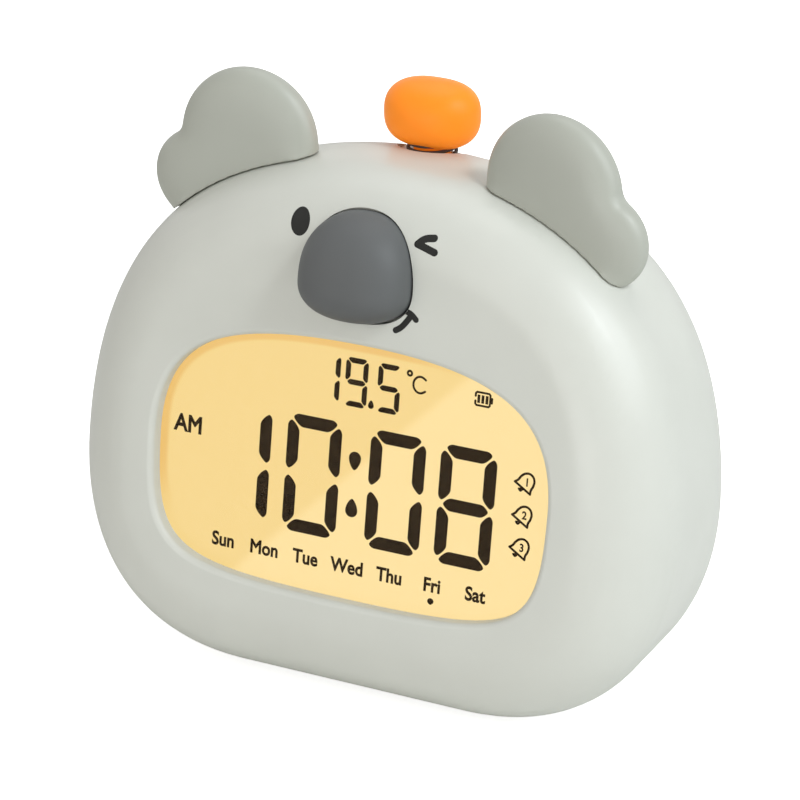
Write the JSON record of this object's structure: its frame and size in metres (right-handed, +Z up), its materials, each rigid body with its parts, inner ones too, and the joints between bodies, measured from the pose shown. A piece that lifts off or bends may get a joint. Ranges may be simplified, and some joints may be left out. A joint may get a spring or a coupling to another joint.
{
  "type": "digital alarm clock",
  "caption": "Free-standing digital alarm clock shaped as a round animal head, with ears, nose, lit display, press button on top and keys on the back.",
  "frame": {"origin": "on the surface the clock stands on, under the middle of its box", "axes": "+X to the clock's right side as seen from the front, the front faces -Y, +Z up"},
  "size_m": [0.12, 0.058, 0.1124],
  "materials": {
    "case_abs": "satin moulded ABS, warm pale grey",
    "ear_abs": "satin moulded ABS, mid grey",
    "nose_abs": "satin moulded ABS, dark grey",
    "button_abs": "satin moulded ABS, orange",
    "key_abs": "satin moulded ABS, mid grey",
    "clear_window": "clear polished acrylic",
    "lit_display": "backlit liquid crystal, warm yellow",
    "light_guide": "clear acrylic light guide",
    "white_film": "white reflector film",
    "white_plastic": "white moulded ABS",
    "circuit_board": "green solder mask on fibreglass board",
    "chip_epoxy": "black moulded epoxy",
    "contact_rubber": "layered silicone contact strip",
    "switch_plastic": "black moulded nylon",
    "steel": "zinc plated steel",
    "socket_metal": "nickel plated steel",
    "cone_paper": "black pressed paper",
    "magnet": "ferrite",
    "cell_sleeve": "shrink sleeve",
    "foot_rubber": "matt grey rubber"
  },
  "bodies": {
    "clock": {"front_shell": "case_abs", "rear_cover": "case_abs", "left_ear": "ear_abs", "right_ear": "ear_abs", "nose": "nose_abs", "display_window": "clear_window", "lcd_panel": "lit_display", "light_guide": "light_guide", "reflector_film": "white_film", "led_strip": "circuit_board", "light_tray": "white_plastic", "contact_strip": "contact_rubber", "main_board": "circuit_board", "controller_chip": "chip_epoxy", "board_screws": "steel", "push_nuts": "steel", "return_spring": "steel", "top_board": "circuit_board", "top_switch": "switch_plastic", "top_board_screws": "steel", "key_board": "circuit_board", "key_switches": "switch_plastic", "key_board_screws": "steel", "usb_socket": "socket_metal", "temperature_sensor": "chip_epoxy", "speaker_basket": "steel", "speaker_cone": "cone_paper", "speaker_magnet": "magnet", "battery_cell": "cell_sleeve", "battery_cradle": "white_plastic", "rubber_feet": "foot_rubber", "case_screws": "steel"},
    "snooze": {"snooze_button": "button_abs", "button_clip": "steel"},
    "mode_key": {"mode_key": "key_abs"},
    "set_key": {"set_key": "key_abs"},
    "up_key": {"up_key": "key_abs"},
    "down_key": {"down_key": "key_abs"},
    "light_key": {"light_key": "key_abs"}
  },
  "joints": [
    {"name": "snooze_press", "type": "slide", "parent": "clock", "child": "snooze", "axis": [0, 0, -1], "range_m": [0, 0.001], "stiffness_N_per_m": 900, "springref_m": -0.0012, "deforming": ["return_spring"]},
    {"name": "mode_key_press", "type": "slide", "parent": "clock", "child": "mode_key", "axis": [0, -1, 0], "range_m": [0, 0.0006], "stiffness_N_per_m": 900, "springref_m": -0.0004},
    {"name": "set_key_press", "type": "slide", "parent": "clock", "child": "set_key", "axis": [0, -1, 0], "range_m": [0, 0.0006], "stiffness_N_per_m": 900, "springref_m": -0.0004},
    {"name": "up_key_press", "type": "slide", "parent": "clock", "child": "up_key", "axis": [0, -1, 0], "range_m": [0, 0.0006], "stiffness_N_per_m": 900, "springref_m": -0.0004},
    {"name": "down_key_press", "type": "slide", "parent": "clock", "child": "down_key", "axis": [0, -1, 0], "range_m": [0, 0.0006], "stiffness_N_per_m": 900, "springref_m": -0.0004},
    {"name": "light_key_press", "type": "slide", "parent": "clock", "child": "light_key", "axis": [0, -1, 0], "range_m": [0, 0.0006], "stiffness_N_per_m": 900, "springref_m": -0.0004}
  ]
}
